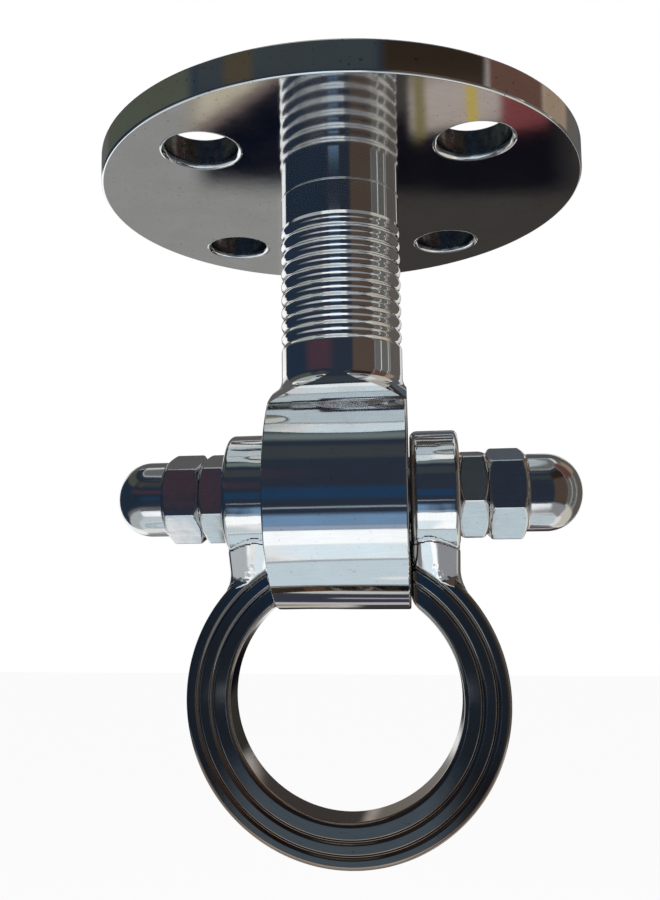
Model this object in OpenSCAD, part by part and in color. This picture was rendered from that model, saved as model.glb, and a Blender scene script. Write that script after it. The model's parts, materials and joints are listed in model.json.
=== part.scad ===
// Swing hanger: a ceiling plate, a beaded stem, a bearing barrel across its foot, and a grooved
// ring that swings below it on an axle, locked by a jam nut and a dome nut at each end.
// The origin is the centre of the plate's mounting face. +Z points up into the ceiling, and the
// axle lies along X. Everything is in millimetres.

/* [Ceiling plate] */
// Diameter of the plate
plate_d = 114; // [108:1:130]
// Thickness of the plate
plate_t = 6.5; // [5:0.5:8]
// Diameter of each fixing hole
hole_d = 15; // [9:0.5:16]
// Diameter of the circle that the fixing holes lie on
hole_circle_d = 82; // [78:1:86]
// Turn of the fixing holes about the stem, away from the corners of a square
hole_turn = 4; // [-45:1:45]
// Radius of the rounded mouth of each hole
hole_round = 1.5; // [0.5:0.1:2]

/* [Stem] */
// Diameter of the stem over its beads
stem_d = 29.1; // [27:0.1:29.5]
// Length of the plain collar above the beads
collar_l = 8.5; // [4:0.1:9]
// Diameter of that collar
collar_d = 28.7; // [26:0.1:29]
// Number of beads
bead_n = 9; // [1:1:9]
// Length of stem that one bead takes
bead_pitch = 3.26; // [2.5:0.02:3.3]
// Depth of the rounded grooves between the beads
bead_depth = 0.45; // [0.2:0.05:0.6]

/* [Barrel] */
// Distance from the mounting face down to the axle
axle_drop = 79; // [79:0.5:90]
// Outer diameter of the barrel
barrel_d = 53.2; // [50:0.1:56]
// Length of the barrel along the axle
barrel_l = 30.8; // [30:0.1:32]
// Radius of the hollow that leads the stem into the front and back of the barrel
saddle_r = 12; // [9:0.5:13]

/* [Bearings] */
// Bore of the two ball bearings, and diameter of the axle
bearing_bore = 12; // [10, 12]
// Outer diameter of each bearing
bearing_od = 37; // [36:0.5:38]
// Width of each bearing
bearing_w = 12; // [11:0.5:12]
// Diameter of the balls
ball_d = 7.94; // [7:0.01:8]
// Number of balls in each bearing
ball_n = 7; // [4:1:7]

/* [Ring] */
// Inside diameter of the ring
ring_id = 53.5; // [48:0.5:56]
// Width of the ring's section, from the eye to the rim
ring_w = 10.5; // [9:0.5:12]
// Thickness of the ring from front to back
ring_t = 10; // [8:0.5:12]
// Distance from the axle down to the centre of the ring
ring_drop = 47; // [45:0.1:50]

/* [Ears] */
// Diameter of the round ears at the axle
ear_d = 30; // [28:0.5:33]
// Thickness of each ear along the axle
ear_t = 11; // [10:0.1:13]
// Gap between an ear and the end of the barrel
ear_gap = 0.35; // [0.3:0.05:1.5]
// Radius of the hollow round an ear's neck
neck_hollow_r = 11; // [9:0.5:13]
// Thickness of the neck from front to back
neck_t = 11.2; // [10:0.1:12]

/* [Nuts] */
// Width of the nuts across their flats
nut_af = 19; // [17:0.5:19]
// Thickness of the jam nuts
jam_nut_h = 6.5; // [5:0.5:7]
// Height of the hexagon of the dome nuts
dome_hex_h = 8.7; // [7:0.1:10]
// Full height of the dome nuts
dome_nut_h = 21.8; // [20:0.1:24]
// Diameter of the domes
dome_d = 18; // [16:0.5:18]

/* [Hidden] */
$fn = 96;

LEFT = -1;
RIGHT = 1;
over = 1;               // how far a cutter runs past the face that it opens
assembly_gap = 0.02;    // radial gap between parts that are pressed or screwed together

// plate and stem
plate_r = plate_d / 2;
plate_edge = 0.5;
stem_r = stem_d / 2;
spigot_r = 10;
weld_leg = 2.5;
seam_chamfer = 0.3;
bead_top_z = -plate_t - collar_l;
bead_foot_z = bead_top_z - bead_n * bead_pitch;
bead_steps = 12;        // cones that each bead is turned in
bead_arc_r = (pow(bead_pitch / 4, 2) + pow(bead_depth / 2, 2)) / bead_depth;
collar_r = collar_d / 2;
collar_flare = 0.8;     // length over which the collar widens to the first bead

// barrel: the saddle's hollow touches the stem at its top and the barrel at its foot
barrel_r = barrel_d / 2;
barrel_end = barrel_l / 2;
barrel_edge = 0.4;
saddle_y = stem_r + saddle_r;
saddle_rise = sqrt(pow(barrel_r + saddle_r, 2) - pow(saddle_y, 2));
saddle_z = saddle_rise - axle_drop;
saddle_foot_y = saddle_y * barrel_r / (barrel_r + saddle_r);
saddle_foot_z = saddle_rise * barrel_r / (barrel_r + saddle_r) - axle_drop;
shoulder_flare_r = 4;   // hollow above the sloping shoulders at the barrel's ends
shoulder_slope = 55;    // slope of those shoulders, from the stem's line
shoulder_low_z = -axle_drop;

// bearings
bearing_r = bearing_od / 2;
bearing_recess = 1;
seat_l = bearing_w + bearing_recess;
spacer_half = barrel_end - seat_l;
land_r = bearing_r - 3;
ball_r = ball_d / 2;
ball_circle_r = (bearing_bore + bearing_od) / 4;
ball_gap = 0.12;
inner_race_r = 9.4;
outer_race_r = 15.1;
race_edge = 0.6;
cage_t = 2.5;
cage_w = 9.2;
seal_t = 1;
seal_lip_gap = 0.25;
bearing_x = spacer_half + bearing_w / 2;

// ring: distances across its section are measured inward from the rim
ring_in_r = ring_id / 2;
ring_out_r = ring_in_r + ring_w;
ring_z = -axle_drop - ring_drop;
ring_edge = 1;
ring_groove_r = 0.75;
ring_groove_depth = 0.45;
ring_groove_at = [0.29, 0.60];
ring_end_edge = 1;      // rounding of the edges of its sawn ends

// ears
ear_r = ear_d / 2;
ear_in = barrel_end + ear_gap;
ear_out = ear_in + ear_t;
ear_edge = 1.2;
ear_bore_r = bearing_bore / 2 + 0.1;
foot_outer_r = 11;      // hollow between an ear's outer face and the ring's rim
foot_outer_x = ear_out + foot_outer_r;
foot_outer_z = ring_z + sqrt(pow(ring_out_r + foot_outer_r, 2) - pow(foot_outer_x, 2));
foot_toe_x = foot_outer_x * ring_out_r / (ring_out_r + foot_outer_r);
foot_toe_z = ring_z + (foot_outer_z - ring_z) * ring_out_r / (ring_out_r + foot_outer_r);
neck_crown = 8;         // the front is turned about a line this far behind the middle, the back likewise
neck_cone = 36;         // slope of the neck under the eye, from its own line
neck_lean = 6;          // lean of that line, outward along the ring
neck_x = ear_in + 5.9;
neck_z = -axle_drop - 21.25;
neck_top_z = -axle_drop - ear_r * sin(neck_cone);   // there the neck's cone is level with the eye
neck_bite = 0.02;       // the hollow cuts this far into the straight part below it

// axle and nuts
axle_r = bearing_bore / 2;
axle_half = ear_out + jam_nut_h + 15;
axle_chamfer = 1;
washer_r = 9;
nut_r = nut_af / 2 / cos(30);
nut_face_r = nut_af * 0.475;
nut_chamfer_slope = tan(30);
nut_corner_cut = 0.15;      // the hexagons' corners are rounded off by this much
nut_turn = [-7.5, -19];     // turn of the left and the right jam nut
dome_turn = [-6, -9];       // turn of the left and the right dome nut
dome_r = dome_d / 2;
dome_x = ear_out + jam_nut_h + dome_hex_h;
dome_tip_x = ear_out + jam_nut_h + dome_nut_h;
dome_cap_r = dome_r + 1;
dome_side_r = dome_r - 0.8;
dome_side_rise = sqrt(pow(dome_cap_r - dome_side_r, 2) - pow(dome_r - dome_side_r, 2));
dome_side_x = dome_tip_x - dome_cap_r + dome_side_rise;
dome_thread_l = dome_nut_h - 5.8;

// ---- helpers ----

// Stands its children on the axle's centre line
module on_axle() {
    translate([0, 0, -axle_drop]) children();
}

// Turns a profile about X: the profile's x is the radius and its y is the place along X
module turned_on_x() {
    rotate([0, 90, 0]) rotate_extrude() children();
}

// A part drawn for the right-hand end, put at either end
module at_side(side) {
    if (side == LEFT) mirror([1, 0, 0]) on_axle() children();
    else on_axle() children();
}

// Half section of a tube, from radius r0 to r1 and from x0 to x1 along X
module tube_profile(r0, r1, x0, x1) {
    translate([r0, x0]) square([r1 - r0, x1 - x0]);
}

// The same with its two outer corners rounded
module rounded_tube_profile(r0, r1, x0, x1, edge) {
    tube_profile(r0, r1, x0 + edge, x1 - edge);
    tube_profile(r0, r1 - edge, x0, x1);
    for (x = [x0 + edge, x1 - edge]) translate([r1 - edge, x]) circle(r = edge);
}

// Half section that takes the corners off a hexagon between x0 and x1
module nut_chamfer_profile(x0, x1) {
    reach_r = nut_r - nut_corner_cut;
    slope = (reach_r - nut_face_r) * nut_chamfer_slope;
    polygon([
        [0, x0], [nut_face_r, x0], [reach_r, x0 + slope],
        [reach_r, x1 - slope], [nut_face_r, x1], [0, x1]
    ]);
}

// A chamfered hexagon along X, turned about X
module hexagon_bar(x0, x1, turn) {
    intersection() {
        translate([x0, 0, 0]) rotate([turn, 0, 0]) rotate([0, 90, 0])
            cylinder(r = nut_r, h = x1 - x0, $fn = 6);
        turned_on_x() nut_chamfer_profile(x0, x1);
    }
}

// ---- the fixed part: plate, stem and barrel ----

// One fixing hole with a rounded mouth in the plate's underside
module fixing_hole() {
    mouth_r = hole_d / 2 + hole_round;
    rotate_extrude() {
        translate([0, -plate_t - over]) square([hole_d / 2, plate_t + 2 * over]);
        difference() {
            translate([0, -plate_t]) square([mouth_r, hole_round]);
            translate([mouth_r, hole_round - plate_t]) circle(r = hole_round);
        }
    }
}

module ceiling_plate() {
    color("gainsboro") difference() {
        rotate_extrude() {
            translate([0, -plate_t]) square([plate_r - plate_edge, plate_t]);
            translate([0, plate_edge - plate_t]) square([plate_r, plate_t - 2 * plate_edge]);
            for (z = [-plate_edge, plate_edge - plate_t])
                translate([plate_r - plate_edge, z]) circle(r = plate_edge);
        }
        translate([0, 0, -plate_t - over]) cylinder(r = spigot_r + assembly_gap, h = plate_t + 2 * over);
        translate([0, 0, -weld_leg]) cylinder(r1 = spigot_r, r2 = spigot_r + weld_leg, h = weld_leg);
        for (k = [0:3]) rotate(45 + hole_turn + 90 * k)
            translate([hole_circle_d / 2, 0, 0]) fixing_hole();
    }
}

// Radius of the beaded stretch, so many pitches below its top: one arc over each bead's crest
// and the same arc, turned over, through each groove
function bead_wave(pitches) =
    let (from_crest = abs(pitches - round(pitches)) * bead_pitch)
    let (from_groove = bead_pitch / 2 - from_crest)
    from_crest < from_groove
        ? stem_r - bead_arc_r + sqrt(pow(bead_arc_r, 2) - pow(from_crest, 2))
        : stem_r - bead_depth + bead_arc_r - sqrt(pow(bead_arc_r, 2) - pow(from_groove, 2));

// A turned bar: spigot through the plate, plain collar, beads, and a plain neck
module stem() {
    wave = [
        for (pitches = [0:1 / bead_steps:bead_n + 0.001])
            [bead_wave(pitches), bead_top_z - pitches * bead_pitch]
    ];
    color("silver") rotate_extrude() polygon(concat(
        [
            [0, 0], [spigot_r, 0], [spigot_r, -plate_t],
            [collar_r - seam_chamfer, -plate_t], [collar_r, -plate_t - seam_chamfer],
            [collar_r, bead_top_z + collar_flare]
        ],
        wave,
        [[stem_r, saddle_z], [0, saddle_z]]
    ));
}

// The weld that holds the spigot, ground flush with the mounting face
module stem_weld() {
    color("darkgray") rotate_extrude()
        polygon([[spigot_r, -weld_leg], [spigot_r + weld_leg, 0], [spigot_r, 0]]);
}

// Section across the axle: the hollows that lead the stem into the barrel
module saddle_section() {
    difference() {
        translate([-saddle_foot_y, saddle_foot_z]) square([2 * saddle_foot_y, saddle_z - saddle_foot_z]);
        for (y = [-saddle_y, saddle_y]) translate([y, saddle_z]) circle(r = saddle_r);
    }
}

// Half section that slopes the barrel's shoulders round the stem
module shoulder_profile() {
    flare_x = stem_r + shoulder_flare_r * (1 - cos(shoulder_slope));
    flare_z = saddle_z - shoulder_flare_r * sin(shoulder_slope);
    low_x = flare_x + (flare_z - shoulder_low_z) * tan(shoulder_slope);
    difference() {
        polygon([
            [0, saddle_z], [stem_r + shoulder_flare_r, saddle_z], [flare_x, flare_z],
            [low_x, shoulder_low_z], [low_x, -axle_drop - barrel_d], [0, -axle_drop - barrel_d]
        ]);
        translate([stem_r + shoulder_flare_r, saddle_z]) circle(r = shoulder_flare_r);
    }
}

// Barrel and saddle in one forging, bored from both ends for the bearings
module bearing_barrel() {
    color("lightsteelblue") difference() {
        intersection() {
            union() {
                on_axle() turned_on_x()
                    rounded_tube_profile(0, barrel_r, -barrel_end, barrel_end, barrel_edge);
                rotate([90, 0, 90])
                    linear_extrude(height = barrel_l - 2 * barrel_edge, center = true) saddle_section();
            }
            rotate_extrude() shoulder_profile();
        }
        on_axle() turned_on_x() {
            tube_profile(0, land_r, -barrel_end, barrel_end);
            tube_profile(0, bearing_r + assembly_gap, spacer_half, barrel_end + over);
            tube_profile(0, bearing_r + assembly_gap, -barrel_end - over, -spacer_half);
        }
    }
}

// ---- the sealed bearings ----

// Half section of the ball track, with room for the balls
module ball_track_profile() {
    translate([ball_circle_r, bearing_x]) circle(r = ball_r + ball_gap);
}

module outer_race(side) {
    color("slategray") at_side(side) turned_on_x() difference() {
        rounded_tube_profile(outer_race_r, bearing_r, spacer_half, spacer_half + bearing_w, race_edge);
        ball_track_profile();
    }
}

module inner_race(side) {
    color("slategray") at_side(side) turned_on_x() difference() {
        tube_profile(axle_r + assembly_gap, inner_race_r, spacer_half, spacer_half + bearing_w);
        ball_track_profile();
    }
}

// Places its children at each ball
module at_each_ball() {
    for (k = [0:ball_n - 1]) rotate([360 * k / ball_n, 0, 0])
        translate([bearing_x, 0, ball_circle_r]) children();
}

module balls(side) {
    color("white") at_side(side) at_each_ball() sphere(r = ball_r);
}

module ball_cage(side) {
    color("goldenrod") at_side(side) difference() {
        turned_on_x() tube_profile(
            ball_circle_r - cage_t / 2, ball_circle_r + cage_t / 2,
            bearing_x - cage_w / 2, bearing_x + cage_w / 2
        );
        at_each_ball() sphere(r = ball_r + ball_gap);
    }
}

// The two lip seals of one bearing, fixed in its outer race
module bearing_seals(side) {
    color("dimgray") at_side(side)
        for (x = [spacer_half, spacer_half + bearing_w - seal_t]) turned_on_x()
            tube_profile(inner_race_r + seal_lip_gap, outer_race_r - assembly_gap, x, x + seal_t);
}

// ---- the swinging part: axle, nuts, ring and ears ----

// Keeps the inner races apart
module bearing_spacer() {
    color("gray") on_axle() turned_on_x()
        tube_profile(axle_r + assembly_gap, inner_race_r - 1, -spacer_half, spacer_half);
}

// Packs the space between an inner race and its ear
module thrust_washer(side) {
    color("gray") at_side(side) turned_on_x()
        tube_profile(axle_r + assembly_gap, washer_r, spacer_half + bearing_w, ear_in);
}

module axle_stud() {
    color("gray") on_axle() turned_on_x() polygon([
        [0, -axle_half], [axle_r - axle_chamfer, -axle_half], [axle_r, axle_chamfer - axle_half],
        [axle_r, axle_half - axle_chamfer], [axle_r - axle_chamfer, axle_half], [0, axle_half]
    ]);
}

module jam_nut(side, turn) {
    color("silver") at_side(side) difference() {
        hexagon_bar(ear_out, ear_out + jam_nut_h, turn);
        turned_on_x() tube_profile(0, axle_r + assembly_gap, ear_out - over, ear_out + jam_nut_h + over);
    }
}

// Half section of the dome: a short cylinder, a rounded side and a blunter cap
module dome_profile() {
    cap_turn = acos(dome_side_rise / (dome_cap_r - dome_side_r));
    cap_foot_x = dome_tip_x - dome_cap_r * (1 - cos(cap_turn));
    tube_profile(0, dome_r, dome_x - over, dome_side_x);
    intersection() {
        translate([dome_r - dome_side_r, dome_side_x]) circle(r = dome_side_r);
        tube_profile(0, dome_r, dome_side_x - over, dome_tip_x);
    }
    intersection() {
        translate([0, dome_tip_x - dome_cap_r]) circle(r = dome_cap_r);
        tube_profile(0, dome_r, cap_foot_x, dome_tip_x);
    }
}

module dome_nut(side, turn) {
    x0 = ear_out + jam_nut_h;
    color("silver") at_side(side) difference() {
        union() {
            hexagon_bar(x0, dome_x, turn);
            turned_on_x() dome_profile();
        }
        turned_on_x() tube_profile(0, axle_r + assembly_gap, x0 - over, x0 + dome_thread_l);
    }
}

// Section of the ring: rounded corners, and two turned grooves in the front and the back face
module ring_section() {
    x0 = ring_in_r;
    x1 = ring_out_r;
    y1 = ring_t / 2;
    difference() {
        union() {
            translate([x0 + ring_edge, -y1]) square([ring_w - 2 * ring_edge, ring_t]);
            translate([x0, ring_edge - y1]) square([ring_w, ring_t - 2 * ring_edge]);
            for (x = [x0 + ring_edge, x1 - ring_edge], y = [ring_edge - y1, y1 - ring_edge])
                translate([x, y]) circle(r = ring_edge);
        }
        for (part = ring_groove_at, face = [-1, 1])
            translate([x1 - part * ring_w, face * (y1 + ring_groove_r - ring_groove_depth)])
                circle(r = ring_groove_r);
    }
}

// Plan of the gap that the ring is sawn open by, with rounded edges left on the ends
module ring_gap_plan() {
    edge_y = ring_t / 2 - ring_end_edge;
    square([2 * ear_in, 3 * ring_t], center = true);
    for (x = [-1, 1], y = [-1, 1]) scale([x, y]) difference() {
        translate([ear_in - over, edge_y]) square([ring_end_edge + over, ring_t]);
        translate([ear_in + ring_end_edge, edge_y]) circle(r = ring_end_edge);
    }
}

// The grooved ring, sawn open at the top between the two ears
module swing_ring() {
    color("darkslategray") difference() {
        translate([0, 0, ring_z]) rotate([90, 0, 0]) rotate_extrude() ring_section();
        translate([0, 0, ring_z]) linear_extrude(height = ring_out_r + over) ring_gap_plan();
    }
}

// Front view of an ear's foot, from inside the eye down to its toe on the ring's rim
module foot_outline() {
    difference() {
        translate([ear_in, foot_toe_z]) square([foot_toe_x - ear_in, neck_top_z - foot_toe_z]);
        translate([foot_outer_x, foot_outer_z]) circle(r = foot_outer_r);
        translate([ear_out, foot_outer_z]) square([foot_outer_r, neck_top_z - foot_outer_z + over]);
    }
}

// Half section that a neck's front is turned to: straight, through a hollow, into a cone
module neck_profile() {
    straight_r = neck_t / 2 + neck_crown;
    cone_r = straight_r + neck_hollow_r * (1 - cos(neck_cone));
    cone_z = neck_hollow_r * sin(neck_cone);
    top_z = ear_d;
    difference() {
        polygon([
            [0, -ear_d], [straight_r, -ear_d], [straight_r, 0], [cone_r, 0], [cone_r, cone_z],
            [cone_r + (top_z - cone_z) * tan(neck_cone), top_z], [0, top_z]
        ]);
        translate([straight_r + neck_hollow_r - neck_bite, 0]) circle(r = neck_hollow_r);
    }
}

// The turned front of the right ear's neck, wide enough to take its back in
module neck_turning() {
    translate([neck_x, neck_crown, neck_z]) rotate([0, -neck_lean, 0])
        rotate_extrude() neck_profile();
}

// A bored eye on the axle, and a foot that necks down to the ring and is coped to its rim
module ear(side) {
    color("silver") mirror([side == LEFT ? 1 : 0, 0, 0]) difference() {
        union() {
            on_axle() turned_on_x() rounded_tube_profile(0, ear_r, ear_in, ear_out, ear_edge);
            intersection() {
                rotate([90, 0, 0]) linear_extrude(height = ear_d, center = true) foot_outline();
                neck_turning();
                mirror([0, 1, 0]) neck_turning();
            }
        }
        on_axle() turned_on_x() tube_profile(0, ear_bore_r, ear_in - over, ear_out + over);
        translate([0, 0, ring_z]) rotate([90, 0, 0]) cylinder(r = ring_out_r, h = 2 * ear_d, center = true);
    }
}

ceiling_plate();
stem();
stem_weld();
bearing_barrel();
outer_race(LEFT);  // left_outer_race
outer_race(RIGHT);  // right_outer_race
inner_race(LEFT);  // left_inner_race
inner_race(RIGHT);  // right_inner_race
balls(LEFT);  // left_balls
balls(RIGHT);  // right_balls
ball_cage(LEFT);  // left_ball_cage
ball_cage(RIGHT);  // right_ball_cage
bearing_seals(LEFT);  // left_bearing_seals
bearing_seals(RIGHT);  // right_bearing_seals
bearing_spacer();
thrust_washer(LEFT);  // left_thrust_washer
thrust_washer(RIGHT);  // right_thrust_washer
axle_stud();
jam_nut(LEFT, nut_turn[0]);  // left_jam_nut
jam_nut(RIGHT, nut_turn[1]);  // right_jam_nut
dome_nut(LEFT, dome_turn[0]);  // left_dome_nut
dome_nut(RIGHT, dome_turn[1]);  // right_dome_nut
swing_ring();
ear(LEFT);  // left_ear
ear(RIGHT);  // right_ear
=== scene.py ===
import json
import math

import bmesh
import bpy
import numpy as np
from mathutils import Matrix, Vector


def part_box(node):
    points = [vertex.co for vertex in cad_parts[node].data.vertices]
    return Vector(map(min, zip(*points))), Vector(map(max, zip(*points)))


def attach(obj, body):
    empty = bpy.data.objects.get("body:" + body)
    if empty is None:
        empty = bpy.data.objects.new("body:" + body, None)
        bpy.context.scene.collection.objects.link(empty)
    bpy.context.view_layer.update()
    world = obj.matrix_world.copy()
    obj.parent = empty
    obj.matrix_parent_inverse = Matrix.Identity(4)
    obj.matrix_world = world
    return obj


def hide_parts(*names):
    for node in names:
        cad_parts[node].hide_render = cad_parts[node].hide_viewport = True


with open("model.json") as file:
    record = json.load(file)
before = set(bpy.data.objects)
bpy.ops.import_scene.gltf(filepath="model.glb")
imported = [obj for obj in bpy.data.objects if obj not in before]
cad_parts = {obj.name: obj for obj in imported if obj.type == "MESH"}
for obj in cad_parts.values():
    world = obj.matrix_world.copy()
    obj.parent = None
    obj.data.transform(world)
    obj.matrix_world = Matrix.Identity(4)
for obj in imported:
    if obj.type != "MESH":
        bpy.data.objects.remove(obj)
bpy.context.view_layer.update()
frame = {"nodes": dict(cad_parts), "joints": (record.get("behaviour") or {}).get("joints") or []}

MM = 0.001
scene = bpy.context.scene
hinge = next(joint for joint in frame["joints"] if joint["name"] == "ring_swing")
AXLE = Vector(hinge["pos_m"])

# ---------------------------------------------------------------- helpers


def link_to_scene(obj):
    scene.collection.objects.link(obj)
    return obj


def new_material(name):
    material = bpy.data.materials.new(name)
    material.use_nodes = True
    material.node_tree.nodes.clear()
    return material


def add(tree, kind, values=None, **properties):
    """Adds a node. values maps an input's name or number to a constant or to another node's output."""
    node = tree.nodes.new("ShaderNode" + kind)
    for key, value in properties.items():
        setattr(node, key, value)
    for key, value in (values or {}).items():
        if isinstance(value, bpy.types.NodeSocket):
            tree.links.new(value, node.inputs[key])
        else:
            node.inputs[key].default_value = value
    return node


def direction(azimuth, elevation):
    """Unit vector. Azimuth 0 faces the camera's side, -Y, and 90 is +X. Both are in degrees."""
    a, e = math.radians(azimuth), math.radians(elevation)
    return Vector((math.sin(a) * math.cos(e), -math.cos(a) * math.cos(e), math.sin(e)))


def box_mm(node):
    """The lowest and the highest corner of a CAD node, in millimetres."""
    return [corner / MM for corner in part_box(node)]


# ---------------------------------------------------------------- camera

YAW, PITCH, ROLL = 6.956, 5.56, -0.66
CAMERA_AT = Vector((16.65, -198.9, -91.8)) * MM
FOCAL_PX = 838.2
PICTURE_H = 900
SENSOR_H = 36.0
SHIFT = (0.0201, 0.0211)


def make_camera():
    """The photograph's view: from in front, a little to the right, looking slightly up."""
    data = bpy.data.cameras.new("camera")
    data.sensor_fit = "VERTICAL"
    data.sensor_height = SENSOR_H
    data.lens = FOCAL_PX * SENSOR_H / PICTURE_H
    data.shift_x, data.shift_y = SHIFT
    data.clip_start = 1 * MM
    camera = link_to_scene(bpy.data.objects.new("camera", data))
    ahead = -direction(YAW, -PITCH)
    right = Vector((math.cos(math.radians(YAW)), math.sin(math.radians(YAW)), 0))
    right = Matrix.Rotation(math.radians(-ROLL), 3, ahead) @ right
    above = right.cross(ahead)
    axes = Matrix((right, above, -ahead)).transposed().to_4x4()
    camera.matrix_world = Matrix.Translation(CAMERA_AT) @ axes
    scene.camera = camera


# ---------------------------------------------------------------- meshes

SLOPE_STEP = 0.01
NET_PULLS = 4
NET_MARGIN = 1


def make_piece(name, points, faces, normals, material, body):
    """A smooth piece in the place of the CAD node of the same name. Points are in millimetres."""
    mesh = bpy.data.meshes.new(name)
    mesh.from_pydata(np.asarray(points, float) * MM, [], faces)
    mesh.polygons.foreach_set("use_smooth", [True] * len(mesh.polygons))
    mesh.normals_split_custom_set_from_vertices(np.asarray(normals, float))
    mesh.materials.append(material)
    piece = link_to_scene(bpy.data.objects.new("shown_" + name, mesh))
    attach(piece, body)
    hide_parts(name)
    return piece


def filleted(corners, steps=6):
    """Points and outward normals along an outline whose corners are (across, along, fillet radius).
    The outside is on the left of the way along it, and a corner without a radius stays sharp."""
    points, normals = [], []
    for k, (across, along, radius) in enumerate(corners):
        here = np.array([across, along], float)
        before = here - corners[max(k - 1, 0)][:2]
        after = np.array(corners[min(k + 1, len(corners) - 1)][:2]) - here
        ways = [way / np.linalg.norm(way) for way in (before, after) if np.linalg.norm(way) > 0]
        sides = [np.array([-way[1], way[0]]) for way in ways]
        if radius == 0 or len(ways) == 1:
            points += [here] * len(sides)
            normals += sides
            continue
        turn = ways[0][0] * ways[1][1] - ways[0][1] * ways[1][0]
        half = math.atan2(turn, ways[0] @ ways[1]) / 2
        outward = -1 if half > 0 else 1
        start = here - ways[0] * radius * abs(math.tan(half))
        centre = start - sides[0] * radius * outward
        for i in range(steps + 1):
            a = 2 * half * i / steps
            normal = np.array([sides[0][0] * math.cos(a) - sides[0][1] * math.sin(a),
                               sides[0][0] * math.sin(a) + sides[0][1] * math.cos(a)])
            points.append(centre + normal * radius * outward)
            normals.append(normal)
    return np.array(points), np.array(normals)


def turned(outline, normals, segments, centre=(0, 0), capped=False):
    """An outline (radius, height) that goes down, turned about a vertical line: points, normals, faces."""
    angles = np.arange(segments) * 2 * math.pi / segments
    ring = np.stack([np.cos(angles), np.sin(angles)], -1)

    def swept(pairs, shift):
        flat = pairs[:, None, :1] * ring[None] + shift
        return np.concatenate([flat, np.broadcast_to(pairs[:, None, 1:], flat.shape[:2] + (1,))], -1)

    steps = np.arange(segments)
    rows = np.arange(len(outline) - 1)[:, None] * segments
    nexts = (steps + 1) % segments
    faces = np.stack([rows + steps, rows + segments + steps, rows + segments + nexts, rows + nexts], -1)
    faces = [list(face) for face in faces.reshape(-1, 4)]
    if capped:
        faces += [list(steps), list((len(outline) - 1) * segments + steps[::-1])]
    return swept(outline, np.array(centre)).reshape(-1, 3), swept(normals, 0).reshape(-1, 3), faces


def surface_net(field, low, high, cell, relax=3):
    """Points, normals and faces on the surface where field, a signed distance, is zero.
    Each cell that the surface crosses gets one point, which is evened out and pulled onto the surface."""
    axes = [np.arange(a, b + cell, cell) for a, b in zip(low, high)]
    inside = field(np.stack(np.meshgrid(*axes, indexing="ij"), -1)) < 0
    cells = tuple(n - 1 for n in inside.shape)
    count = np.zeros(cells, int)
    for shift in np.ndindex(2, 2, 2):
        count += inside[tuple(slice(s, s + n) for s, n in zip(shift, cells))]
    mixed = (count > 0) & (count < 8)
    number = np.full(cells, -1)
    number[mixed] = np.arange(mixed.sum())
    points = np.array(low) + (np.argwhere(mixed) + 0.5) * cell

    quads = []
    for axis in range(3):
        second, third = (axis + 1) % 3, (axis + 2) % 3
        here = np.argwhere(np.diff(inside, axis=axis))
        here = here[(here[:, second] > 0) & (here[:, third] > 0)]
        here = here[(here[:, second] < cells[second]) & (here[:, third] < cells[third])]
        corners = []
        for back_2, back_3 in ((1, 1), (0, 1), (0, 0), (1, 0)):
            cell_at = here.copy()
            cell_at[:, second] -= back_2
            cell_at[:, third] -= back_3
            corners.append(number[tuple(cell_at.T)])
        quad = np.stack(corners, -1)
        leaving = inside[tuple(here.T)]
        quads += [quad[leaving], quad[~leaving][:, ::-1]]
    quads = np.concatenate(quads)

    def slope(at):
        steps = np.eye(3) * SLOPE_STEP
        return np.stack([field(at + s) - field(at - s) for s in steps], -1) / (2 * SLOPE_STEP)

    for turn in range(relax + 1):
        if turn:
            total, uses = np.zeros_like(points), np.zeros(len(points))
            for a, b in ((0, 1), (1, 2), (2, 3), (3, 0)):
                np.add.at(total, quads[:, a], points[quads[:, b]])
                np.add.at(total, quads[:, b], points[quads[:, a]])
                np.add.at(uses, quads[:, a], 1)
                np.add.at(uses, quads[:, b], 1)
            points = total / uses[:, None]
        for _ in range(NET_PULLS):
            way = slope(points)
            steepness = np.maximum((way * way).sum(-1), 0.1)
            points = points - field(points)[:, None] * way / steepness[:, None]
    normals = slope(points)
    return points, normals / np.linalg.norm(normals, axis=-1, keepdims=True), quads


def both(a, b, radius):
    """Signed distance to what two solids share, with the edge between them rounded."""
    edge = np.hypot(np.maximum(radius + a, 0), np.maximum(radius + b, 0))
    return np.minimum(-radius, np.maximum(a, b)) + edge


def either(a, b, radius):
    """Signed distance to two solids together, with a hollow fillet between them."""
    fillet = np.hypot(np.maximum(radius - a, 0), np.maximum(radius - b, 0))
    return np.maximum(radius, np.minimum(a, b)) - fillet


def make_from_net(name, side, net, material):
    """A piece of the right side from its net, or with side -1 its mirror image on the left."""
    points, normals, faces = net
    mirror = np.array([side, 1, 1])
    make_piece(name, points * mirror, faces[:, ::side].tolist(), normals * mirror, material, "ring")


# ---------------------------------------------------------------- plate and stem

PLATE_R = box_mm("ceiling_plate")[1].x
PLATE_T = -box_mm("ceiling_plate")[0].z
PLATE_EDGE = 0.5
RIM_BAND = 3
RIM_SEGMENTS = 320
HOLE_R = 7.5
HOLE_ROUND = 1.3
HOLE_EDGE = 0.4
HOLE_WALL_LIP = 0.35
HOLE_CIRCLE_R = 41
HOLE_FIRST_ANGLE = 49
HOLE_ANGLES = [math.radians(HOLE_FIRST_ANGLE + 90 * k) for k in range(4)]
HOLE_SEGMENTS = 128
SPIGOT_R = 10
WELD_LEG = 2.5
BORE_BAND = 1
BORE_SEGMENTS = 96
CORE_R = 1
STEM_R = box_mm("stem")[1].x
STEM_FOOT_Z = box_mm("stem")[0].z
COLLAR_R = 14.35
COLLAR_FLARE = 0.8
COLLAR_ROUND = 0.3
SEAM = 0.3
BEAD_TOP_Z = -15.0
BEAD_PITCH = 3.26
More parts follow.
